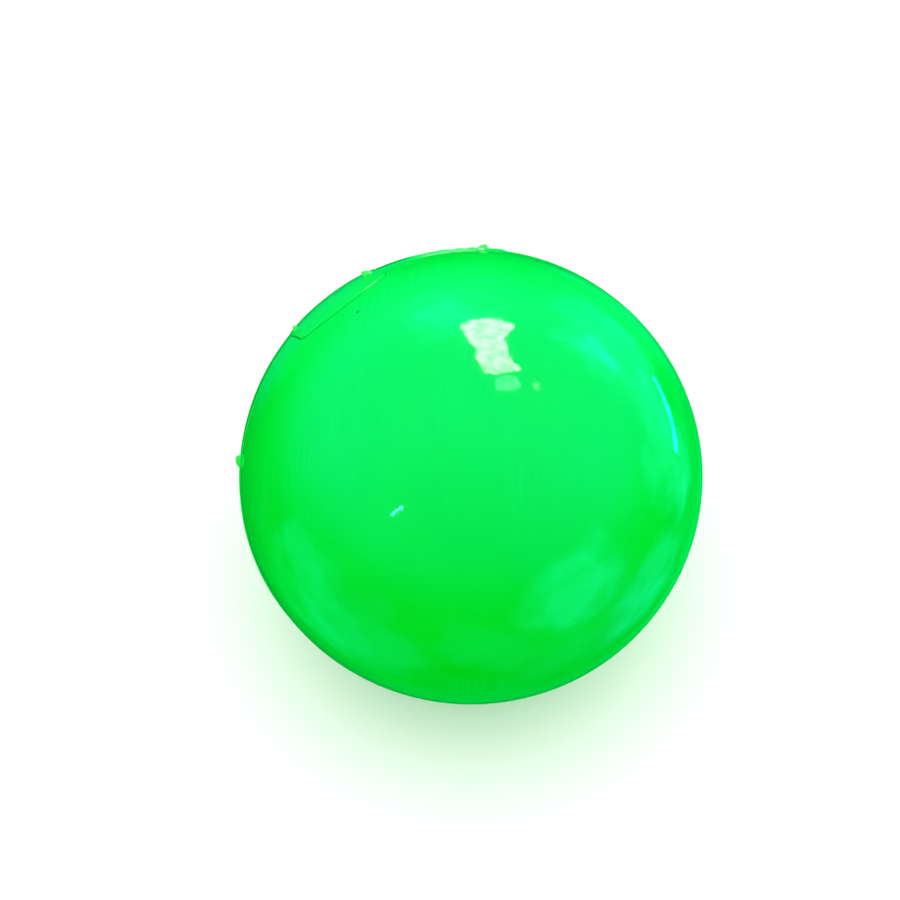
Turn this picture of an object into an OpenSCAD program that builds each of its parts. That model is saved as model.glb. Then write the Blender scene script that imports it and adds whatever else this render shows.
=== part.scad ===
// A large soft squeeze ball, settled on a level surface under its own weight.
// The origin is the centre of the flat patch that it rests on, with +Z up.
// The body is a surface of revolution about Z. The closure and the mould's parting line
// share a frame of their own, whose Z runs out from the ball's centre through the closure.

/* [Ball] */
// Widest diameter of the settled ball
ball_w = 116; // [108:1:124]
// How far the sides have spread from a true ball
spread = 6.5; // [5:0.5:8]
// Width of the flat patch that the ball rests on
foot_w = 42; // [36:1:50]
// Thickness of the moulded skin
skin_t = 2; // [1.8:0.1:2.6]

/* [Closure] */
// Direction of the closure above the horizontal, in degrees
closure_up = 36; // [20:1:50]
// Direction of the closure round the ball from +X, in degrees
closure_turn = 139; // [0:1:359]
// Width of the closure patch along the parting line
patch_w = 26.6; // [25:0.2:28]
// Height of the closure patch across the parting line, at its middle
patch_h = 21.8; // [21:0.2:24]
// Radius of the patch's bowed upper and lower edges
bow_r = 25; // [20:1:40]
// Turn of the patch from square with the parting line, in degrees
patch_turn = 4.5; // [-8:0.5:8]
// Thickness of the closure patch
patch_t = 0.9; // [0.8:0.1:1.2]
// How far the closure patch stands proud of the skin
patch_proud = 0.25; // [0.2:0.05:0.5]
// Width of the open groove round the closure patch
groove_w = 0.3; // [0.2:0.1:0.8]
// Depth of the crease across the patch, in line with the parting line
crease_d = 0.4; // [0.2:0.05:0.5]
// Thickness of the adhesive under the closure patch
bond_t = 0.2; // [0.1:0.05:0.3]
// Diameter of the filling port through the skin
port_w = 8; // [6:0.5:10]
// Length of the thickened collar behind the port
collar_t = 3; // [2.5:0.5:5]

/* [Parting line] */
// Turn of the parting plane about the closure's axis, in degrees
parting_turn = -109; // [-180:1:180]
// Height of the parting line above the skin
seam_h = 0.15; // [0.1:0.05:0.3]
// Height of the stretch of flash that was left untrimmed
flash_h = 0.8; // [0.3:0.05:0.9]
// Height of the small torn flash tabs above the surface that they stand on
tab_h = 1.4; // [1:0.1:1.8]

/* [Hidden] */
$fn = 180;

// The side of the ball is an arc of one radius whose centre lies off the axis, and the crown is
// a flatter arc centred on the axis. They meet tangent where their normals rise at crown_up.
side_r = ball_w / 2 - spread;
crown_up = 60;
crown_r = side_r + spread / cos(crown_up);
mid_z = sqrt(pow(side_r, 2) - pow(foot_w / 2 - spread, 2));
crown_z = mid_z - spread * tan(crown_up);
beyond = 2 * ball_w;

// Height of a direction on the parting plane, as the sine of its rise above the horizontal
function rise(along) = cos(along) * sin(closure_up) - sin(along) * cos(closure_up) * cos(parting_turn);

// Distance from the ball's centre to its side surface in a direction with that rise
function reach(sine) = spread * sqrt(1 - pow(sine, 2)) + sqrt(pow(side_r, 2) - pow(spread * sine, 2));
closure_reach = reach(sin(closure_up));

// Room left between pieces that touch on the real ball
fit_gap = 0.1;
fill_gap = 0.2;

// The closure's layers, as depths below the skin's outer surface
patch_depth = patch_t - patch_proud;
bond_depth = patch_depth + fit_gap / 2 + bond_t;
seat_depth = bond_depth + fit_gap;
flange_t = 0.8;
flange_depth = seat_depth + flange_t + fit_gap;
collar_depth = skin_t + collar_t;
barb_depth = collar_depth + fit_gap + 2.2;

corner_room = 1.3;
bond_inset = 1;
crease_w = 0.4;
flange_w = port_w + 6;
collar_w = port_w + 15;
barb_w = port_w + 5;
barb_tip_w = port_w - 2;

// A stretch of flash on the parting line, between two places in degrees from the closure
seam_w = 0.6;
flash_w = 0.4;
flash_from = 20;
flash_to = 48;

// Torn flash tabs, two on the closure patch and one further along on each side. Each is given as
// its place in degrees from the closure, its width, and its lean as a share of half that width.
tab_t = 0.8;
tab_root = 0.8;
patch_tabs = [[10.5, 3, -0.5], [-12.1, 1.8, 0.6]];
far_tabs = [[40.5, 3.4, 0.4], [-47.5, 3.8, 0.3]];

// Half of the ball's outline, grown by a distance that is negative for a surface inside it
module outline(grow) {
  intersection() {
    union() {
      translate([spread, mid_z]) circle(side_r + grow);
      translate([0, mid_z - side_r - grow]) square([spread, 1.8 * (side_r + grow)]);
      intersection() {
        translate([0, crown_z]) circle(crown_r + grow);
        translate([0, crown_z]) polygon([[0, 0], beyond * [cos(crown_up), sin(crown_up)], [0, beyond]]);
      }
    }
    translate([0, max(0, -grow)]) square([beyond, beyond]);
  }
}

module ball(grow) {
  rotate_extrude() outline(grow);
}

// The closure's frame: the origin is the ball's centre, Z is the closure's axis, and the parting
// plane is its XZ plane
module at_closure() {
  translate([0, 0, mid_z]) rotate([0, 90 - closure_up, closure_turn]) rotate([0, 0, parting_turn])
    children();
}

// A flat outline carried along the closure's axis, kept from one depth below the skin to another,
// with ends that follow the ball's curve
module closure_layer(top, bottom) {
  difference() {
    intersection() {
      ball(-top);
      at_closure() linear_extrude(beyond) children();
    }
    ball(-bottom);
  }
}

// The closure patch's outline, grown by a distance: straight ends, bowed upper and lower edges,
// and corners that are trimmed round
module patch_outline(grow) {
  rotate(patch_turn)
    intersection() {
      square([patch_w + 2 * grow, beyond], center = true);
      circle(patch_w / 2 + corner_room + grow);
      translate([0, patch_h / 2 - bow_r]) circle(bow_r + grow);
      translate([0, bow_r - patch_h / 2]) circle(bow_r + grow);
    }
}

// A wedge of the parting plane, between two directions measured from the closure
module parting_wedge(from, to, width) {
  at_closure() rotate([90, 0, 0])
    linear_extrude(width, center = true)
      polygon([[0, 0], beyond * [sin(from), cos(from)], beyond * [sin(to), cos(to)]]);
}

module parting_line() {
  intersection() {
    ball(seam_h);
    at_closure() cube([beyond, seam_w, beyond], center = true);
  }
  intersection() {
    ball(flash_h);
    parting_wedge(flash_from, flash_to, flash_w);
  }
}

// A small torn tab of flash in the parting plane, on a surface that is proud of the skin. It is
// a flat plate that rises to a blunt point, and the point leans along the parting line.
module flash_tab(tab, proud) {
  along = tab[0];
  half_w = tab[1] / 2;
  tip = tab[2] * half_w;
  tip_half_w = half_w / 5;
  at_closure() rotate([0, along, 0]) translate([0, 0, reach(rise(along)) + proud])
    rotate([90, 0, 0])
      linear_extrude(tab_t, center = true)
        polygon([
          [-half_w, -tab_root], [half_w, -tab_root], [half_w, 0],
          [tip + tip_half_w, tab_h], [tip - tip_half_w, tab_h], [-half_w, 0]
        ]);
}

module skin() {
  color([0.0, 0.94, 0.37])
    difference() {
      union() {
        difference() {
          union() {
            ball(0);
            parting_line();
            for (tab = far_tabs) flash_tab(tab, 0);
          }
          ball(-skin_t);
        }
        closure_layer(skin_t / 2, collar_depth) circle(d = collar_w);
      }
      closure_layer(-beyond / 10, seat_depth) patch_outline(groove_w);
      closure_layer(seat_depth / 2, flange_depth) circle(d = flange_w + 2 * fit_gap);
      closure_layer(flange_depth / 2, 2 * collar_depth) circle(d = port_w);
    }
}

module filling() {
  color([0.86, 0.97, 0.82])
    difference() {
      ball(-skin_t - fill_gap);
      closure_layer(skin_t / 2, collar_depth + fill_gap) circle(d = collar_w + 2 * fill_gap);
      closure_layer(collar_depth / 2, barb_depth + fill_gap) circle(d = barb_w + 2 * fill_gap);
    }
}

module fill_plug() {
  color([0.02, 0.72, 0.28]) {
    closure_layer(seat_depth, flange_depth - fit_gap) circle(d = flange_w);
    closure_layer(flange_depth - 2 * fit_gap, collar_depth + 2 * fit_gap) circle(d = port_w - fit_gap);
    intersection() {
      closure_layer(collar_depth + fit_gap, barb_depth) circle(d = barb_w);
      at_closure() translate([0, 0, closure_reach - barb_depth - 1])
        cylinder(d1 = barb_tip_w, d2 = barb_w + 2, h = barb_depth - collar_depth + 1);
    }
  }
}

module bond_film() {
  color([0.9, 0.95, 0.85]) closure_layer(patch_depth + fit_gap / 2, bond_depth) patch_outline(-bond_inset);
}

// The groove across the middle of the closure patch
module crease() {
  difference() {
    at_closure() cube([beyond, crease_w, beyond], center = true);
    ball(patch_proud - crease_d);
  }
}

module closure_patch() {
  color([0.0, 0.88, 0.33]) {
    difference() {
      closure_layer(-patch_proud, patch_depth) patch_outline(0);
      crease();
    }
    difference() {
      for (tab = patch_tabs) flash_tab(tab, patch_proud);
      ball(-patch_depth / 2);
    }
  }
}

skin();
filling();
fill_plug();
bond_film();
closure_patch();
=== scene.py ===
"""A large glossy squeeze ball on a pale floor: moulded skin, dough filling, plug and glued patch."""
import math

import bpy
import numpy as np
from mathutils import Matrix, Vector, noise


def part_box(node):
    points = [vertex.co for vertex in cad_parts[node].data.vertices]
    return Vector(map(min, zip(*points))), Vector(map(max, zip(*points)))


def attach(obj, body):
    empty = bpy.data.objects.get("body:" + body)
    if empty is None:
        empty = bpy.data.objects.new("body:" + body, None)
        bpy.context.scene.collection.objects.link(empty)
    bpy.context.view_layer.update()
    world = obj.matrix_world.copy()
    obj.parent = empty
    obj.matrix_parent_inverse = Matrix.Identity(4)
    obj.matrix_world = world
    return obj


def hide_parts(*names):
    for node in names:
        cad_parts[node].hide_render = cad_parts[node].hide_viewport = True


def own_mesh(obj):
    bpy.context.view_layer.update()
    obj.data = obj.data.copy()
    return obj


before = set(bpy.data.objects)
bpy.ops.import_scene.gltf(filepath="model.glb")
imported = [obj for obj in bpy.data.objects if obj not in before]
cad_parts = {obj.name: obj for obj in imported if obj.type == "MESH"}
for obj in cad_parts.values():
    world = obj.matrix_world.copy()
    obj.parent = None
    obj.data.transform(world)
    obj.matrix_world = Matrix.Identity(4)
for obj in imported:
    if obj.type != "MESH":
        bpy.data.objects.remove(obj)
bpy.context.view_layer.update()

MM = 0.001
NEAR_ZERO = 1e-3

# The ball's own measures, in metres. Its width, height and joint come from the frame. The rest
# repeat the CAD's: the side is an arc centred SPREAD off the axis, up to the height where its
# normals rise at CROWN_UP, and the crown is a flatter arc that meets it tangent.
LOW, HIGH = (np.array(corner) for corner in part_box("skin"))
SPREAD = 6.5 * MM
CROWN_UP = math.radians(60)
SIDE_R = (HIGH[1] - LOW[1]) / 2 - SPREAD
CROWN_DROP = SPREAD * math.tan(CROWN_UP)
CROWN_R = SIDE_R + SPREAD / math.cos(CROWN_UP)
MID_Z = HIGH[2] - CROWN_R + CROWN_DROP
CENTRE = np.array([0.0, 0.0, MID_Z])
FOOT_ROUND = 1.2 * MM
SKIN_T = 2.0 * MM
FILL_GAP = 0.2 * MM

# The closure's axis, and the turn of the mould's parting plane about it
CLOSURE_UP = math.radians(36)
CLOSURE_TURN = math.radians(139)
PARTING_TURN = math.radians(-109)

# The closure patch: straight ends, bowed upper and lower edges, trimmed corners, and a crease. Its
# hidden edge is bevelled here, and square in the CAD.
PATCH_W = 26.6 * MM
PATCH_H = 21.8 * MM
BOW_R = 25.0 * MM
CORNER_ROOM = 1.3 * MM
PATCH_TURN = math.radians(4.5)
PATCH_PROUD = 0.25 * MM
PATCH_DEPTH = 0.65 * MM
PATCH_BEVEL = 0.9 * MM
PATCH_ROUND = 0.2 * MM
CREASE_D = 0.4 * MM
CREASE_W = 0.3 * MM
CREASE_FADE = 0.1 * MM

# The patch's seat in the skin: its rim, from where the mesh follows the patch's outline, its lip,
# and the groove that is left round the patch. The groove is narrower here than the CAD's 0.3 mm,
# which renders too dark, and the seat slopes in to follow the patch's bevel.
SEAT_DEPTH = 1.0 * MM
RIM = 0.5 * MM
LIP = 0.08 * MM
GROOVE_W = 0.12 * MM
GROOVE_D = 0.35 * MM

# What lies under the patch, and how far each edge there is rounded off
BOND_INSET = 1.0 * MM
BOND_TOP = 0.7 * MM
BOND_BOTTOM = 0.9 * MM
BOND_RAGGED = 0.1 * MM
FLANGE_R = 7.0 * MM
FLANGE_BOTTOM = 1.8 * MM
FLANGE_EDGE = 0.15 * MM
PORT_R = 4.0 * MM
PORT_EDGE = 0.1 * MM
COLLAR_R = 11.5 * MM
COLLAR_DEPTH = 5.0 * MM
COLLAR_EDGE = 0.5 * MM
COLLAR_FILLET = 0.3 * MM
BARB_R = 6.5 * MM
BARB_DEPTH = 7.3 * MM
BARB_EDGE = 0.2 * MM
FIT_GAP = 0.1 * MM
DOUGH_ROOM = 0.25 * MM

# Flash on the parting line: its ridge, a stretch left untrimmed, and small torn tabs. A tab's flanks
# take TAB_FLANK of half its width. Each tab has a place along the line in degrees, a width in
# millimetres, and a lean, which makes one flank longer and the other shorter. How ragged flash and
# tabs are is a mean share of their height, and waves about it, each a share, a size and a seed.
SEAM_H = 0.15 * MM
SEAM_W = 0.6 * MM
FLASH_H = 0.8 * MM
FLASH_W = 0.4 * MM
FLASH_FROM, FLASH_TO = math.radians(20), math.radians(48)
FLASH_FADE = 0.05
FLASH_MEAN, FLASH_WAVES = 0.7, [(0.3, 2.2 * MM, 3)]
TAB_H = 1.4 * MM
TAB_T = 0.8 * MM
TAB_EDGE = 0.2 * MM
TAB_FLANK = 0.8
TAB_MEAN, TAB_WAVES = 0.95, [(0.2, TAB_T, 7)]
PATCH_TABS = [(10.5, 3.0, -0.5), (-12.1, 1.8, 0.6)]
FAR_TABS = [(40.5, 3.4, 0.4), (-47.5, 3.8, 0.3)]

# Unevenness as waves of a height, a size and a seed. The skin's starts beyond the patch's seat, at
# CALM_TO from the closure's axis, and is whole CALM_FADE further out.
SKIN_WAVES = [(0.22 * MM, 34 * MM, 1), (0.03 * MM, 13 * MM, 2)]
DOUGH_WAVES = [(0.12 * MM, 9 * MM, 4), (0.04 * MM, 2.5 * MM, 5)]
PATCH_WAVES = [(0.05 * MM, 7 * MM, 6)]
CALM_TO = math.radians(15)
CALM_FADE = math.radians(14)

# The mesh. Columns run round the closure's axis: BESIDE gives those beside the parting plane, in
# millimetres from it, and QUARTER the number from the last of them to a quarter turn. The outside
# has rings from the pole opposite the closure: from, to and step, in degrees.
BESIDE = [0, 0.1, 0.2, 0.3, 0.4, 0.55, 0.8, 1.2, 1.8, 2.6]
QUARTER = 52
POLE = 179
OUTSIDE = [(POLE, 57, 1.6), (57, 50, 0.5), (50, 36, 0.25), (36, 26, 0.5), (26, 18, 0.8)]
SEAT_FROM, SEAT_STEP = 18, 0.4
WALL_STEP = 3
DOUGH_STEP = 2.5
PATCH_RINGS = 56
UNDER_RINGS = 12
FILM_RINGS = 8


def closure_frame():
    """The closure's axes as rows: in the parting plane, across it, and out through the closure."""
    out = np.array([
        math.cos(CLOSURE_UP) * math.cos(CLOSURE_TURN),
        math.cos(CLOSURE_UP) * math.sin(CLOSURE_TURN),
        math.sin(CLOSURE_UP),
    ])
    level = np.array([-math.sin(CLOSURE_TURN), math.cos(CLOSURE_TURN), 0.0])
    down = np.cross(level, out)
    along = math.cos(PARTING_TURN) * down + math.sin(PARTING_TURN) * level
    return np.array([along, np.cross(out, along), out])


AXES = closure_frame()


def way(azimuth, elevation):
    """Unit vector from the ball: azimuth 0 is towards the camera's side (-Y), 90 is +X."""
    a, e = math.radians(azimuth), math.radians(elevation)
    return Vector((math.sin(a) * math.cos(e), -math.cos(a) * math.cos(e), math.sin(e)))


def reach(ways, depth):
    """Distance from CENTRE, along unit vectors, to the surface that lies depth inside the ball's."""
    rise = ways[:, 2]
    level = np.sqrt(np.clip(1 - rise ** 2, 0, 1))
    side_r, crown_r = SIDE_R - depth, CROWN_R - depth
    side = SPREAD * level + np.sqrt(side_r ** 2 - (SPREAD * rise) ** 2)
    crown = np.sqrt(crown_r ** 2 - (CROWN_DROP * level) ** 2) - CROWN_DROP * rise
    join = np.arctan2(side_r * math.sin(CROWN_UP), SPREAD + side_r * math.cos(CROWN_UP))
    found = np.where(np.arctan2(rise, level) > join, crown, side)
    foot = (MID_Z - np.maximum(0, depth)) / np.maximum(-rise, NEAR_ZERO)
    near_edge = np.clip((FOOT_ROUND - np.abs(found - foot)) / FOOT_ROUND, 0, 1)
    return np.minimum(found, foot) - near_edge ** 2 * FOOT_ROUND / 4


def surface_spot(direction):
    """The place on the ball's surface in that direction from CENTRE."""
    return Vector(CENTRE) + direction * float(reach(np.array([direction]), np.zeros(1))[0])


CLOSURE_REACH = float(reach(AXES[2:3], np.zeros(1))[0])


# ---- mesh building ----


def columns():
    """Angles round the closure's axis, close together where they run beside the parting plane."""
    near = [math.asin(y * MM / SIDE_R) for y in BESIDE]
    rest = list(np.linspace(near[-1], math.pi / 2, QUARTER))[1:]
    quarter = np.array(near + rest)
    half = np.concatenate([quarter, math.pi - quarter[-2::-1]])
    return np.concatenate([half, 2 * math.pi - half[-2:0:-1]])


COLUMNS = columns()


def patch_edge(grow):
    """Distance from the closure's axis to the patch's outline, grown, at each column."""
    cosines = np.abs(np.cos(COLUMNS - PATCH_TURN))
    sines = np.abs(np.sin(COLUMNS - PATCH_TURN))
    off_centre = BOW_R - PATCH_H / 2
    bow = np.sqrt((BOW_R + grow) ** 2 - (off_centre * cosines) ** 2) - off_centre * sines
    end = (PATCH_W / 2 + grow) / np.maximum(cosines, NEAR_ZERO)
    return np.minimum(np.minimum(bow, end), PATCH_W / 2 + CORNER_ROOM + grow)


def angle(radius, depth):
    """Angle from the closure's axis to a ring of that radius about it, that deep in the skin.

    The radius is one value, or one for each column."""
    return np.arcsin(radius / (CLOSURE_REACH - depth))


def ring(radius, depth):
    """One ring of a grid, as its angle or angles from the closure's axis, and its depth."""
    return angle(radius, depth), depth


def disc(radius, depth, count):
    """Rings at one depth, from near the closure's axis out towards a radius, not counting it."""
    return [ring(radius * i / count, depth) for i in range(1, count)]


def sweep(start, end, step, depth):
    """Rings from one angle to another, not counting the end, at one depth."""
    count = max(1, round(float(np.max(np.abs(end - start))) / math.radians(step)))
    return [(start + (end - start) * i / count, depth) for i in range(count)]


def ball_points(rings, detail=None):
    """Points of a grid of rings by columns, each ring given as (angles from the closure, depth).

    Returns the points, and the height that detail adds to each."""
    angles = np.concatenate([np.broadcast_to(a, len(COLUMNS)) for a, _ in rings])
    depths = np.repeat([d for _, d in rings], len(COLUMNS))
    turns = np.tile(COLUMNS, len(rings))
    out = np.sin(angles)
    local = np.stack([out * np.cos(turns), out * np.sin(turns), np.cos(angles)], 1)
    ways = local @ AXES
    long = reach(ways, depths)
    raised = np.zeros(len(local)) if detail is None else detail(local, long, depths)
    points = CENTRE + ways * (long + raised)[:, None]
    points[:, 2] = np.maximum(points[:, 2], 0)
    return points, raised


def grid_faces(rows, wide):
    """Faces of a closed grid of rows by columns, with a pole's point beyond each end."""
    start, end = rows * wide, rows * wide + 1
    faces = []
    for r in range(rows - 1):
        for c in range(wide):
            n = (c + 1) % wide
            faces.append((r * wide + c, (r + 1) * wide + c, (r + 1) * wide + n, r * wide + n))
    tail = (rows - 1) * wide
    for c in range(wide):
        n = (c + 1) % wide
        faces.append((start, c, n))
        faces.append((end, tail + n, tail + c))
    return faces


def link(name, data):
    """A new object of that mesh, light or camera, in the scene."""
    made = bpy.data.objects.new(name, data)
    bpy.context.scene.collection.objects.link(made)
    return made


def grid_piece(name, rings, detail=None):
    """A closed piece from rings about the closure's axis. The first and last rings are poles.

    Its attribute "raised" holds the height that detail adds at each point."""
    points, raised = ball_points(rings, detail)
    wide = len(COLUMNS)
    first, last = points[:wide].mean(0), points[-wide:].mean(0)
    verts = np.vstack([points[wide:-wide], first, last])
    mesh = bpy.data.meshes.new(name)
    mesh.from_pydata(verts.tolist(), [], grid_faces(len(rings) - 2, wide))
    mesh.shade_smooth()
    mesh.validate()
    heights = mesh.attributes.new("raised", "FLOAT", "POINT")
    heights.data.foreach_set("value", np.concatenate([raised[wide:-wide], [0, 0]]))
    return link(name, mesh)


# ---- surface detail ----


def smooth(x):
    """Rises from 0 to 1 as x does, level at both ends."""
    x = np.clip(x, 0, 1)
    return x * x * (3 - 2 * x)


def band(across, flat, fade):
    """1 up to flat from a line, and falling to 0 over the next fade."""
    return 1 - smooth((across - flat) / fade)


def wave(points, size, seed):
    """Smooth noise over points, one value each from -1 to 1, with features of about that size."""
    shift = Vector((seed * 17.3, seed * 5.1, seed * 9.7))
    return np.array([noise.noise(Vector(p) / size + shift) for p in points])


def uneven(spots, waves):
    """Sum of waves over spots, each given as its height, size and seed."""
    return sum(height * wave(spots, size, seed) for height, size, seed in waves)


def from_parting(spots):
    """Each spot's distance from the mould's parting plane, and its angle along the parting line."""
    return np.abs(spots[:, 1]), np.arctan2(spots[:, 0], spots[:, 2])


def tabs(spots, torn):
    """Height of the torn tabs: ragged plates in the parting plane, each with a blunt tip."""
    found = np.zeros(len(spots))
    across, along = from_parting(spots)
    plate = band(across, TAB_T / 2 - TAB_EDGE / 4, TAB_EDGE)
    ragged = TAB_MEAN + uneven(spots, TAB_WAVES)
    for place, width, lean in torn:
        half = width * MM / 2
        apart = (along - math.radians(place)) * np.hypot(spots[:, 0], spots[:, 2])
        rise = (apart + half) / (TAB_FLANK + lean) / half
        fall = (half - apart) / (TAB_FLANK - lean) / half
        slope = np.sin(math.pi / 2 * np.clip(np.minimum(rise, fall), 0, 1))
        found = np.maximum(found, TAB_H * slope * plate * ragged)
    return found


def flash(spots):
    """Height of the stretch of flash that was left untrimmed on the parting line."""
    across, along = from_parting(spots)
    ends = smooth((along - FLASH_FROM) / FLASH_FADE) * smooth((FLASH_TO - along) / FLASH_FADE)
    ragged = FLASH_MEAN + uneven(spots, FLASH_WAVES)
    return FLASH_H * ends * ragged * band(across, FLASH_W / 4, FLASH_W / 2)


def skin_detail(local, long, depths):
    """Height of the flash, its tabs, and the skin's slight unevenness above the true surface."""
    outside = depths == 0
    height = np.zeros(len(local))
    spots = local[outside] * long[outside, None]
    across, along = from_parting(spots)
    from_closure = np.arccos(np.clip(local[outside, 2], -1, 1))
    found = uneven(spots, SKIN_WAVES) * smooth((from_closure - CALM_TO) / CALM_FADE)
    found += SEAM_H * band(across, SEAM_W / 4, SEAM_W / 2)
    untrimmed = (along > FLASH_FROM) & (along < FLASH_TO)
    found = np.where(untrimmed, np.maximum(found, flash(spots)), found)
    height[outside] = np.maximum(found, tabs(spots, FAR_TABS))
    return height


def patch_detail(local, long, depths):
    """Height of the crease across the patch's top, and of its two tabs."""
    top = depths == -PATCH_PROUD
    height = np.zeros(len(local))
    spots = local[top] * long[top, None]
    across, _ = from_parting(spots)
    dip = -CREASE_D * band(across, CREASE_W / 2, CREASE_FADE)
    rise = tabs(spots, PATCH_TABS)
    height[top] = np.where(rise > 0, rise, dip + uneven(spots, PATCH_WAVES))
    return height


def dough_detail(local, long, depths):
    """The dough's lumps, which only sink in from the skin."""
    deepest = sum(height for height, _, _ in DOUGH_WAVES)
    return -deepest - uneven(local * long[:, None], DOUGH_WAVES)


# ---- pieces ----


def make_skin():
    """The moulded skin as one closed shell: outside, patch seat, port, collar and inside wall."""
    seat = patch_edge(GROOVE_W)
    port_top = FLANGE_BOTTOM + FIT_GAP
    rings = [(math.pi, 0.0)]
    for start, end, step in OUTSIDE:
        rings += sweep(math.radians(start), math.radians(end), step, 0.0)
    rings += sweep(math.radians(SEAT_FROM), angle(seat + RIM, 0.0), SEAT_STEP, 0.0)
    rings += [
        ring(seat + RIM, 0.0),
        ring(seat + 0.4 * RIM, 0.0),
        ring(seat + LIP, LIP / 4),
        ring(seat, LIP),
        ring(seat - GROOVE_W / 2, GROOVE_D),
        ring(seat - PATCH_BEVEL, SEAT_DEPTH),
        ring((seat + FLANGE_R) / 2, SEAT_DEPTH),
        ring(FLANGE_R + FIT_GAP + PORT_EDGE, SEAT_DEPTH),
        ring(FLANGE_R + FIT_GAP, SEAT_DEPTH + PORT_EDGE),
        ring(FLANGE_R + FIT_GAP, port_top),
        ring(PORT_R + PORT_EDGE, port_top),
        ring(PORT_R, port_top + PORT_EDGE),
        ring(PORT_R, COLLAR_DEPTH - PORT_EDGE),
        ring(PORT_R + PORT_EDGE, COLLAR_DEPTH),
        ring(COLLAR_R - COLLAR_EDGE, COLLAR_DEPTH),
        ring(COLLAR_R, COLLAR_DEPTH - COLLAR_EDGE),
        ring(COLLAR_R, SKIN_T + COLLAR_FILLET),
        ring(COLLAR_R + COLLAR_FILLET, SKIN_T),
    ]
    wall_from = angle(COLLAR_R + 2 * COLLAR_EDGE, SKIN_T)
    rings += sweep(wall_from, math.radians(POLE), WALL_STEP, SKIN_T)
    rings += [(math.radians(POLE), SKIN_T), (math.pi, SKIN_T)]
    return grid_piece("soft_skin", rings, skin_detail)


def make_patch():
    """The closure patch, which follows the ball's curve. Its edge is thin and rounded."""
    top, edge = -PATCH_PROUD, patch_edge(0)
    flat, under = edge - PATCH_ROUND, edge - PATCH_BEVEL
    rings = [(0.0, top)] + disc(flat, top, PATCH_RINGS)
    rings += [
        ring(flat + PATCH_ROUND * math.sin(a), top + PATCH_ROUND * (1 - math.cos(a)))
        for a in np.linspace(0, math.pi / 2, 5)
    ]
    rings += [
        ring(edge, top + 2 * PATCH_ROUND),
        ring(flat, top + 3 * PATCH_ROUND),
        ring(under, PATCH_DEPTH),
    ]
    rings += disc(under, PATCH_DEPTH, UNDER_RINGS)[::-1] + [(0.0, PATCH_DEPTH)]
    return grid_piece("glued_closure_patch", rings[::-1], patch_detail)


def make_plug():
    """The stopper: a flange under the patch, a stem through the port, and a mushroom barb."""
    neck = FLANGE_BOTTOM
    stem_r = PORT_R - FIT_GAP / 2
    barb_top = COLLAR_DEPTH + FIT_GAP
    rings = [(0.0, SEAT_DEPTH)] + disc(FLANGE_R, SEAT_DEPTH, FILM_RINGS)
    rings += [
        ring(FLANGE_R - FLANGE_EDGE, SEAT_DEPTH),
        ring(FLANGE_R, SEAT_DEPTH + FLANGE_EDGE),
        ring(FLANGE_R, neck - FLANGE_EDGE),
        ring(FLANGE_R - FLANGE_EDGE, neck),
        ring(PORT_R, neck),
        ring(stem_r, neck + 1.5 * BARB_EDGE),
        ring(stem_r, barb_top - BARB_EDGE),
        ring(PORT_R + BARB_EDGE, barb_top),
        ring(BARB_R - BARB_EDGE, barb_top),
        ring(BARB_R, barb_top + BARB_EDGE),
        ring(BARB_R - 1.5 * BARB_EDGE, barb_top + 4 * BARB_EDGE),
        ring(PORT_R, BARB_DEPTH - 2 * BARB_EDGE),
        ring(PORT_R - 4 * BARB_EDGE, BARB_DEPTH),
        ring(PORT_R / 2, BARB_DEPTH),
        (0.0, BARB_DEPTH),
    ]
    return grid_piece("port_plug", rings[::-1])


def make_bond():
    """The cured adhesive, squeezed out to an uneven edge."""
    ragged = BOND_RAGGED * np.sin(7 * COLUMNS) * np.sin(4 * COLUMNS)
    edge = patch_edge(-BOND_INSET) + ragged
    rings = [(0.0, BOND_TOP)] + disc(edge, BOND_TOP, FILM_RINGS)
    rings += [
        ring(edge, BOND_TOP),
        ring(edge + LIP, (BOND_TOP + BOND_BOTTOM) / 2),
        ring(edge, BOND_BOTTOM),
    ]
    rings += disc(edge, BOND_BOTTOM, FILM_RINGS)[::-1] + [(0.0, BOND_BOTTOM)]
    return grid_piece("adhesive_film", rings[::-1])


def make_dough():
    """The dough, which fills the skin and is moulded round the collar and the barb."""
    wall = SKIN_T + FILL_GAP
    collar, pocket = COLLAR_DEPTH + FILL_GAP, BARB_DEPTH + FILL_GAP
    collar_r, barb_r = COLLAR_R + DOUGH_ROOM, BARB_R + DOUGH_ROOM
    wall_to = angle(COLLAR_R + 4 * COLLAR_FILLET, wall)
    rings = [(math.pi, wall)]
    rings += sweep(math.radians(POLE), wall_to, DOUGH_STEP, wall)
    rings += [
        ring(COLLAR_R + 2 * COLLAR_FILLET, wall),
        ring(collar_r, wall + 2 * DOUGH_ROOM),
        ring(collar_r, collar - COLLAR_FILLET),
        ring(COLLAR_R, collar),
        ring(BARB_R + 2 * COLLAR_FILLET, collar),
        ring(barb_r, collar + COLLAR_FILLET),
        ring(barb_r, BARB_DEPTH),
        ring(BARB_R, pocket),
        ring(BARB_R / 2, pocket),
        (0.0, pocket),
    ]
    return grid_piece("dough_filling", rings, dough_detail)


# ---- materials ----

# The green of the skin and the patch, and of the plug, where the pigment lies thin and thick
GREENS = ((0.0, 0.61, 0.004), (0.0, 0.57, 0.003))
PLUG_GREENS = ((0.0, 0.46, 0.02), (0.0, 0.40, 0.015))
SKIN_ROUGH, PATCH_ROUGH, PLUG_ROUGH = 0.045, 0.08, 0.3
RUBBER_IOR = 1.5

# A grain of grit that is caught in the skin, between the closure and the crown: its colour, and
# how far from its middle it starts to fade and ends
GRIT_SPOT = surface_spot(way(-124, 53))
GRIT = (0.0, 0.1, 0.0)
GRIT_FROM, GRIT_TO = 0.3 * MM, 0.7 * MM

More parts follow.
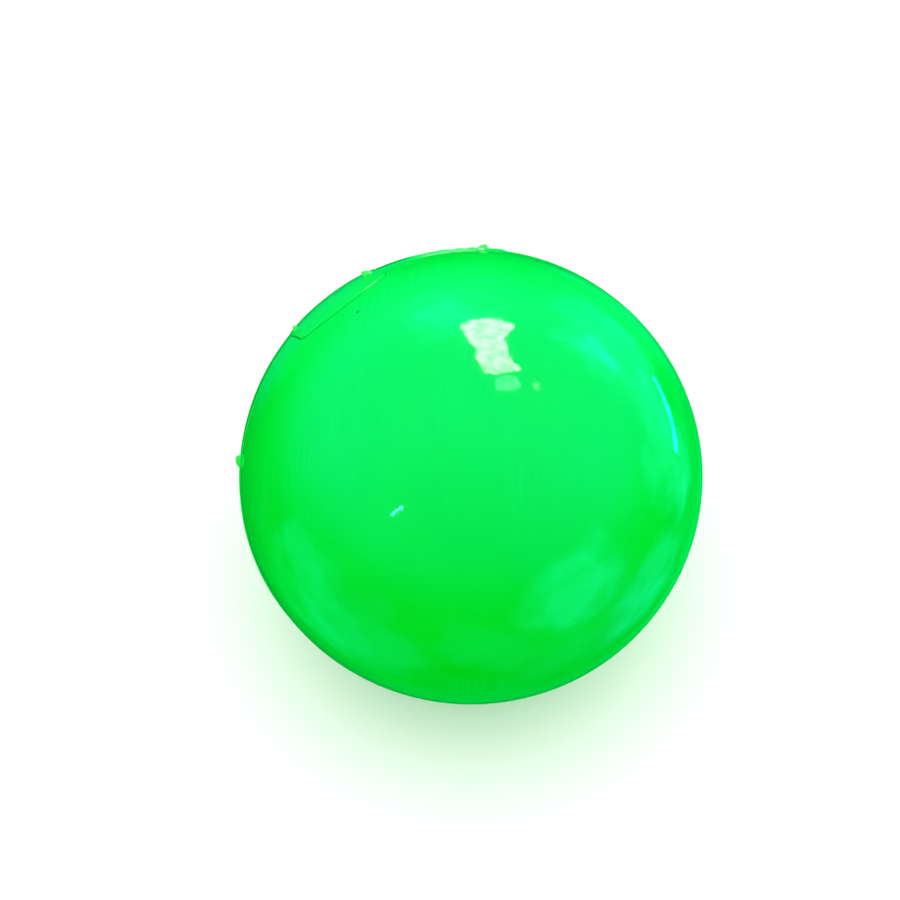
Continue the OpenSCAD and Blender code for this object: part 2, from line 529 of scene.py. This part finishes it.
# The faint dull film where hands have rubbed the skin. It is lighter and bluer than the green, and
# its bluish streaks are also a painted reflection of the streaky cyan haze in the gloss. Its colour,
# and its streaks' turn and size
RUB_FILM_AND_SHEEN = (0.0, 0.64, 0.03)
RUB_SHEEN_TURN = (0.7, 0.5, 0.9)
RUB_SHEEN_W, RUB_SHEEN_L = 1.2 * MM, 22 * MM


def colour(red, green, blue):
    """An opaque colour, as nodes take it."""
    return (red, green, blue, 1.0)


WHITE = colour(1.0, 1.0, 1.0)


class Nodes:
    """The node tree of a material or of a world, with short calls to add to it."""

    def __init__(self, owner, shader="Principled BSDF", place="Object"):
        owner.use_nodes = True
        self.tree = owner.node_tree
        self.shader = self.tree.nodes[shader]
        self.place = self.tree.nodes.new("ShaderNodeTexCoord").outputs[place]

    def add(self, kind, inputs, **settings):
        """A new node, with its settings made and its inputs filled."""
        node = self.tree.nodes.new(kind)
        for key, value in settings.items():
            setattr(node, key, value)
        for key, value in inputs.items():
            self.put(node.inputs[key], value)
        return node

    def put(self, socket, value):
        """Links an output to a socket, or sets the socket's own value."""
        if isinstance(value, bpy.types.NodeSocket):
            self.tree.links.new(value, socket)
        else:
            socket.default_value = value

    def fill(self, **inputs):
        """Fills the shader's inputs. A name's underscores stand for spaces."""
        for key, value in inputs.items():
            self.put(self.shader.inputs[key.replace("_", " ")], value)

    def show(self, shader):
        """Gives the material this shader in place of its own."""
        self.put(self.tree.nodes["Material Output"].inputs["Surface"], shader)

    def glow(self, tone, strength=1.0):
        """A shader that gives off light."""
        return self.add("ShaderNodeEmission", {"Color": tone, "Strength": strength}).outputs[0]

    def both(self, first, second):
        """Two shaders' light together."""
        return self.add("ShaderNodeAddShader", {0: first, 1: second}).outputs[0]

    def noise_node(self, size, detail, roughness=0.5):
        """Noise over the surface, with features of about that size in metres."""
        inputs = {"Vector": self.place, "Scale": 1 / size, "Detail": detail, "Roughness": roughness}
        return self.add("ShaderNodeTexNoise", inputs)

    def noise(self, size, detail=3.0, roughness=0.5):
        """That noise as a value round a half."""
        return self.noise_node(size, detail, roughness).outputs["Fac"]

    def drifted(self, size, shift, detail):
        """The place, moved by up to shift each way, and by half that on average."""
        drift = self.noise_node(size, detail).outputs["Color"]
        inputs = {0: drift, 1: (shift, shift, shift), 2: self.place}
        return self.add("ShaderNodeVectorMath", inputs, operation="MULTIPLY_ADD").outputs[0]

    def streaks(self, width, length, turn):
        """Noise drawn out along gently bent lines, as a value round a half."""
        bent = self.drifted(length, length / 3, 2.0)
        drawn_out = (1 / width, 1 / length, 1 / length)
        inputs = {"Vector": bent, "Rotation": turn, "Scale": drawn_out}
        drawn = self.add("ShaderNodeMapping", inputs).outputs[0]
        inputs = {"Vector": drawn, "Scale": 1.0, "Detail": 4.0}
        return self.add("ShaderNodeTexNoise", inputs).outputs["Fac"]

    def cells(self, size):
        """Distance to the nearest of scattered points about that far apart."""
        inputs = {"Vector": self.place, "Scale": 1 / size}
        return self.add("ShaderNodeTexVoronoi", inputs).outputs["Distance"]

    def apart(self, place, spot):
        """Distance from a place to a spot."""
        inputs = {0: place, 1: spot}
        return self.add("ShaderNodeVectorMath", inputs, operation="DISTANCE").outputs["Value"]

    def axis(self, letter):
        """The place's X, Y or Z."""
        return self.add("ShaderNodeSeparateXYZ", {0: self.place}).outputs[letter]

    def scale(self, value, low, high, to_low, to_high, curve="LINEAR"):
        """A value taken from one range to another, and held inside it."""
        inputs = {
            "Value": value,
            "From Min": low,
            "From Max": high,
            "To Min": to_low,
            "To Max": to_high,
        }
        return self.add("ShaderNodeMapRange", inputs, interpolation_type=curve).outputs["Result"]

    def times(self, first, second):
        """Two values' product."""
        return self.add("ShaderNodeMath", {0: first, 1: second}, operation="MULTIPLY").outputs[0]

    def plus(self, first, second):
        """Two values' sum."""
        return self.add("ShaderNodeMath", {0: first, 1: second}, operation="ADD").outputs[0]

    def blend(self, share, first, second):
        """A mix of two colours, with that share of the second."""
        node = self.add("ShaderNodeMix", {"Factor": share}, data_type="RGBA")
        self.put(node.inputs["A"], first)
        self.put(node.inputs["B"], second)
        return node.outputs["Result"]

    def bump(self, height, distance, strength, normal=None):
        """A normal that shows height as relief, on top of another normal if one is given."""
        inputs = {"Height": height, "Distance": distance, "Strength": strength}
        node = self.add("ShaderNodeBump", inputs)
        if normal is not None:
            self.put(node.inputs["Normal"], normal)
        return node.outputs["Normal"]


def rubber_colour(m, light, dark):
    """Cloudy pigment with a few dark specks, the film where hands have rubbed it, whose bluish
    streaks are also a painted reflection, and the grit.
    """
    clouds = m.scale(m.noise(30 * MM, 4), 0.35, 0.65, 0, 1)
    specks = m.scale(m.cells(6 * MM), 0.02, 0.05, 0.35, 0)
    tone = m.blend(clouds, colour(*light), colour(*dark))
    tone = m.blend(specks, tone, colour(*(0.7 * c for c in dark)))
    # Bluish streaks: a real rubbed film, and also a painted reflection of the gloss's streaky cyan
    # haze
    streaks = m.scale(m.streaks(RUB_SHEEN_W, RUB_SHEEN_L, RUB_SHEEN_TURN), 0.35, 0.65, 0, 1)
    rub_and_sheen_spots = m.scale(m.noise(30 * MM, 3), 0.5, 0.66, 0, 0.5)
    tone = m.blend(m.times(streaks, rub_and_sheen_spots), tone, colour(*RUB_FILM_AND_SHEEN))
    grit = m.scale(m.apart(m.place, GRIT_SPOT), GRIT_FROM, GRIT_TO, 0.8, 0)
    return m.blend(grit, tone, colour(*GRIT))


def rubber_roughness(m, roughness):
    """Soft smears in the gloss. Torn flash, which stands up from the surface, is duller."""
    smears = m.scale(m.noise(18 * MM, 5, 0.6), 0.3, 0.75, roughness * 0.6, roughness * 1.8)
    raised = m.add("ShaderNodeAttribute", {}, attribute_name="raised").outputs["Fac"]
    torn = m.scale(raised, 0.35 * MM, 0.6 * MM, 0, 0.5)
    return m.plus(smears, torn)


def glossy_rubber(name, greens, roughness):
    """Saturated stretchy rubber with a fine skin texture."""
    material = bpy.data.materials.new(name)
    m = Nodes(material)
    fine = m.bump(m.noise(1.2 * MM, 2), 0.02 * MM, 0.5)
    m.fill(
        Base_Color=rubber_colour(m, *greens),
        Roughness=rubber_roughness(m, roughness),
        Normal=m.bump(m.noise(6 * MM, 3), 0.07 * MM, 0.6, fine),
        IOR=RUBBER_IOR,
    )
    return material


def dough_material():
    """Pale, damp, slightly grainy dough."""
    material = bpy.data.materials.new("dough")
    m = Nodes(material)
    m.fill(
        Base_Color=m.blend(m.noise(12 * MM, 4), colour(0.74, 0.9, 0.66), colour(0.6, 0.82, 0.5)),
        Roughness=m.scale(m.noise(4 * MM, 3), 0.3, 0.7, 0.35, 0.6),
        Normal=m.bump(m.noise(1.5 * MM, 4), 0.2 * MM, 0.6),
    )
    return material


def adhesive_material():
    """Clear yellowish cured adhesive with small bubbles."""
    material = bpy.data.materials.new("cured_adhesive")
    m = Nodes(material)
    m.fill(
        Base_Color=m.blend(m.noise(6 * MM, 3), colour(0.82, 0.86, 0.66), colour(0.7, 0.78, 0.5)),
        Roughness=m.scale(m.noise(3 * MM, 2), 0.3, 0.7, 0.15, 0.35),
        Normal=m.bump(m.cells(1.2 * MM), 0.1 * MM, 0.5),
    )
    return material


def floor_material():
    """Pale matt floor, very slightly cloudy."""
    material = bpy.data.materials.new("pale_floor")
    m = Nodes(material)
    m.fill(
        Base_Color=m.blend(m.noise(0.2, 3), colour(0.93, 0.93, 0.93), colour(0.9, 0.9, 0.9)),
        Roughness=0.9,
        Specular_IOR_Level=0.0,
    )
    return material


def finish_piece(piece, node, body, material):
    """Gives a piece its material and its body, and hides the CAD part that it stands for."""
    piece.data.materials.append(material)
    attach(piece, body)
    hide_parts(node)
    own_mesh(piece)


skin = make_skin()
dough = make_dough()
patch = make_patch()
plug = make_plug()
bond = make_bond()

skin_green = glossy_rubber("green_skin", GREENS, SKIN_ROUGH)
patch_green = glossy_rubber("green_patch", GREENS, PATCH_ROUGH)
plug_green = glossy_rubber("green_plug", PLUG_GREENS, PLUG_ROUGH)

finish_piece(skin, "skin", "ball", skin_green)
finish_piece(dough, "filling", "ball", dough_material())
finish_piece(patch, "closure_patch", "closure", patch_green)
finish_piece(plug, "fill_plug", "closure", plug_green)
finish_piece(bond, "bond_film", "closure", adhesive_material())


# ---- floor, light and camera ----

# Half the floor's width, and the wall round it
FLOOR_HALF = 6.0
WALL_R = 5.5
WALL_H = 8.0

# The gloss's surroundings: their distance, their tint overhead and below, and how far and how
# finely the edges of the glows on them wander
TENT_R = 3.0
HIGH_TINT = colour(0.02, 1.0, 0.9)
LOW_TINT = colour(0.0, 1.0, 0.2)
GLOW_DRIFT = 1.6
DRIFT_SIZE = TENT_R / 3.6

# Soft glows on them: azimuth, elevation, width as a share of TENT_R, strength and tint
TENT_GLOWS = [
    (135, 20, 0.2, 3.5, HIGH_TINT),
    (135, 5, 0.5, 2.0, HIGH_TINT),
    (145, 25, 0.1, 1.5, HIGH_TINT),
    (-170, 30, 0.35, 2.4, HIGH_TINT),
    (45, -5, 0.5, 2.5, HIGH_TINT),
    (110, -10, 0.45, 2.0, HIGH_TINT),
    (80, -40, 0.4, 1.1, HIGH_TINT),
    (50, -30, 0.7, 0.6, HIGH_TINT),
    (5, -25, 0.4, 0.6, HIGH_TINT),
    (-50, -35, 0.6, 0.8, HIGH_TINT),
    (-70, -20, 0.35, 0.9, HIGH_TINT),
    (-150, -25, 0.45, 0.45, HIGH_TINT),
    (155, -20, 0.4, 0.5, HIGH_TINT),
    (125, -40, 0.8, 0.7, LOW_TINT),
    (-70, -45, 0.6, 0.7, LOW_TINT),
    (0, -80, 0.5, 0.3, LOW_TINT),
]

# The window that shows in the gloss, as the azimuth and elevation of its left and right sides, row
# by row from its top. Leaves outside leave its sides ragged. A dim strip lies beyond its sill.
WINDOW = [
    ((180, 37), (170, 35)),
    ((185, 41), (164, 36)),
    ((184, 47), (165, 44)),
    ((178, 54), (160, 50)),
    ((178, 60), (155, 55)),
    ((172, 64), (145, 57)),
    ((168, 66), (158, 65)),
]
SILL = [((156, 66), (144, 61)), ((152, 70), (135, 63)), ((148, 71), (135, 66))]
LAMP = [((-45, 37), (-44, 37)), ((-43, 45), (-42, 45))]
GLINT = [((130, 57), (129, 56)), ((129, 58), (127, 57))]

# Every lit panel: its name, its sides, and its bright and dim colours
PANELS = [
    ("window", WINDOW, (19, 22, 21), (7, 12, 10.5)),
    ("sill", SILL, (4.5, 11, 9.5), (0.2, 4.5, 5.5)),
    ("lamp", LAMP, (8, 60, 60), (6, 50, 50)),
    ("glint", GLINT, (12, 20, 18), (6, 12, 10)),
]

# The strip light: its two ends' azimuths and distances from the ball's axis, and what it gives
STREAK_ENDS = [(128, 0.34), (105, 0.20)]
STREAK_Z = 0.02
STREAK_W = 0.015
STREAK_RADIANCE = 9

# The camera: its elevation in degrees, distance, lens in millimetres, and how far to the left of
# the ball's centre and above it the camera aims
CAMERA_UP = 60
CAMERA_FAR = 0.47
CAMERA_LENS = 74.5
AIM_LEFT = 5.3 * MM
AIM_ABOVE = 6.1 * MM


def make_floor():
    """The pale floor, which the gloss doesn't show."""
    mesh = bpy.data.meshes.new("floor")
    corners = [(x * FLOOR_HALF, y * FLOOR_HALF, 0) for x, y in ((-1, -1), (1, -1), (1, 1), (-1, 1))]
    mesh.from_pydata(corners, [], [(0, 1, 2, 3)])
    mesh.materials.append(floor_material())
    floor = link("floor", mesh)
    floor.visible_glossy = False


def make_backdrop():
    """A plain white wall far round the floor, which only the camera sees."""
    material = bpy.data.materials.new("white_wall")
    m = Nodes(material)
    m.show(m.glow(WHITE))
    bpy.ops.mesh.primitive_cylinder_add(
        vertices=96,
        radius=WALL_R,
        depth=WALL_H,
        end_fill_type="NOTHING",
        location=(0, 0, WALL_H / 2),
    )
    wall = bpy.context.object
    wall.name = "backdrop"
    wall.data.materials.append(material)
    wall.visible_diffuse = False
    wall.visible_glossy = False
    wall.visible_shadow = False


def show_in_gloss_only(piece):
    """Hides a lit surface from all but reflections."""
    piece.visible_camera = False
    piece.visible_diffuse = False
    piece.visible_shadow = False


def panel(name, rows, bright, dim):
    """A lit panel a metre from the ball, given by its sides' directions. Its colour is mottled."""
    places = [Vector(CENTRE) + way(*side) for row in rows for side in row]
    faces = [(2 * i, 2 * i + 1, 2 * i + 3, 2 * i + 2) for i in range(len(rows) - 1)]
    mesh = bpy.data.meshes.new(name)
    mesh.from_pydata(places, [], faces)
    material = bpy.data.materials.new(name)
    m = Nodes(material)
    mottle = m.scale(m.noise(60 * MM, 5, 0.65), 0.35, 0.65, 0, 1)
    m.show(m.glow(m.blend(mottle, colour(*bright), colour(*dim))))
    mesh.materials.append(material)
    show_in_gloss_only(link(name, mesh))


def strip_light(name, ends, height, width, radiance, tint):
    """A long soft light that faces the ball and shows in the gloss only.

    Each end is given by its azimuth and its distance from the ball's axis."""
    rise = Vector((0, 0, height))
    start, end = (way(azimuth, 0) * distance + rise for azimuth, distance in ends)
    data = bpy.data.lights.new(name, "AREA")
    data.shape = "RECTANGLE"
    data.size, data.size_y = (end - start).length, width
    data.energy = radiance * math.pi * data.size * data.size_y
    data.color = tint
    light = link(name, data)
    light.location = (start + end) / 2
    along = (end - start).normalized()
    away = (light.location - Vector(CENTRE)).normalized()
    across = away.cross(along).normalized()
    turn = Matrix((along, across, along.cross(across))).transposed()
    light.rotation_mode = "QUATERNION"
    light.rotation_quaternion = turn.to_quaternion()
    light.visible_diffuse = False
    light.visible_camera = False


def tent_light(m):
    """The tent's own light, brightest overhead, dimmer in front and greener below."""
    rise = m.scale(m.axis("Z"), -0.75 * TENT_R, 0.5 * TENT_R, 0.3, 3.5, "SMOOTHSTEP")
    front = m.scale(m.axis("Y"), -TENT_R, 0, 0.42, 1)
    hue = m.scale(m.axis("Z"), -0.4 * TENT_R, 0.55 * TENT_R, 0, 1, "SMOOTHSTEP")
    return m.glow(m.blend(hue, LOW_TINT, HIGH_TINT), m.times(rise, front))


def make_tent():
    """Big lit surroundings with mottled, ragged glows, seen only in the gloss."""
    material = bpy.data.materials.new("tent_cloth")
    m = Nodes(material)
    light = tent_light(m)
    mottle = m.scale(m.noise(0.5, 5, 0.65), 0.35, 0.65, 0.75, 1.25)
    drifted = m.drifted(DRIFT_SIZE, GLOW_DRIFT, 4.0)
    mean_drift = Vector((GLOW_DRIFT, GLOW_DRIFT, GLOW_DRIFT)) / 2
    for azimuth, elevation, width, strength, tint in TENT_GLOWS:
        spot = way(azimuth, elevation) * TENT_R + mean_drift
        size = width * TENT_R
        fade = m.scale(m.apart(drifted, spot), 0.3 * size, size, strength, 0, "SMOOTHSTEP")
        light = m.both(light, m.glow(tint, m.times(fade, mottle)))
    m.show(light)
    bpy.ops.mesh.primitive_uv_sphere_add(
        segments=64, ring_count=32, radius=TENT_R, location=CENTRE
    )
    tent = bpy.context.object
    tent.name = "tent"
    tent.data.shade_smooth()
    tent.data.materials.append(material)
    show_in_gloss_only(tent)


def make_world():
    """A pale studio dome, brightest overhead and a little dimmer in front."""
    world = bpy.data.worlds.new("studio")
    m = Nodes(world, "Background", "Generated")
    rise = m.scale(m.axis("Z"), -0.1, 1.0, 0.45, 1.85)
    front = m.scale(m.axis("Y"), -1.0, 1.0, 0.88, 1.12)
    m.fill(Color=WHITE, Strength=m.times(rise, front))
    bpy.context.scene.world = world


def make_camera():
    """The camera looks down on the ball from the front."""
    data = bpy.data.cameras.new("camera")
    data.lens = CAMERA_LENS
    camera = link("camera", data)
    back = way(0, CAMERA_UP)
    right = Vector((1, 0, 0))
    camera.location = Vector(CENTRE) + back * CAMERA_FAR
    aim = Vector(CENTRE) - right * AIM_LEFT + back.cross(right) * AIM_ABOVE
    camera.rotation_mode = "QUATERNION"
    camera.rotation_quaternion = (camera.location - aim).to_track_quat("Z", "Y")
    bpy.context.scene.camera = camera


make_floor()
make_backdrop()
make_tent()
make_world()
make_camera()
for name, rows, bright, dim in PANELS:
    panel(name, rows, bright, dim)
strip_light("streak", STREAK_ENDS, STREAK_Z, STREAK_W, STREAK_RADIANCE, HIGH_TINT[:3])
bpy.context.scene.view_settings.view_transform = "Standard"
